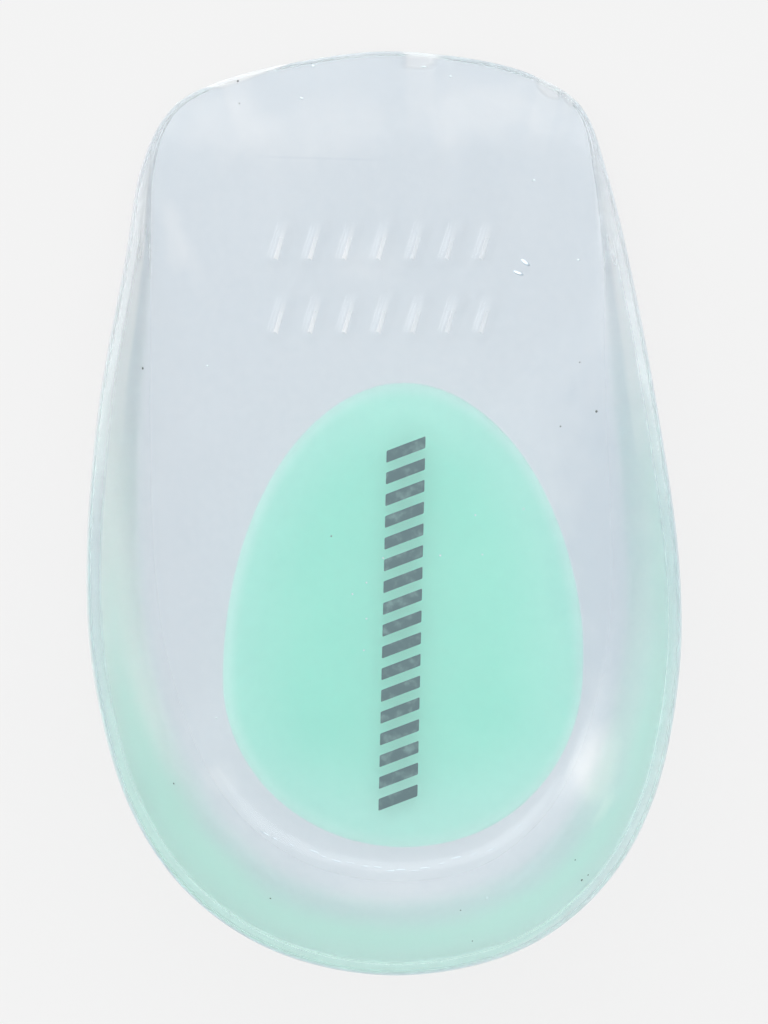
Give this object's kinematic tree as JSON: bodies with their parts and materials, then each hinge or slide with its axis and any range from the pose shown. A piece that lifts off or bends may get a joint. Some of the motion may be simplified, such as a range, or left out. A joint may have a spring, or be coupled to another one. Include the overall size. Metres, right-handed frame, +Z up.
{
  "type": "silicone heel cup",
  "caption": "Clear silicone cup worn in a shoe to cradle and cushion the heel, with a softer egg-shaped gel pad set into its underside and a thin tapering front edge.",
  "frame": {"origin": "on the floor, under the middle of the cup's box", "axes": "+Z up, +Y towards the toes along the cup's length, +X to the right seen from above with the toes away"},
  "size_m": [0.0674, 0.105, 0.0205],
  "materials": {
    "clear_silicone": "translucent, satin",
    "mint_gel": "satin"
  },
  "bodies": {
    "root": {"silicone_cup": "clear_silicone", "gel_pad": "mint_gel"}
  },
  "joints": []
}
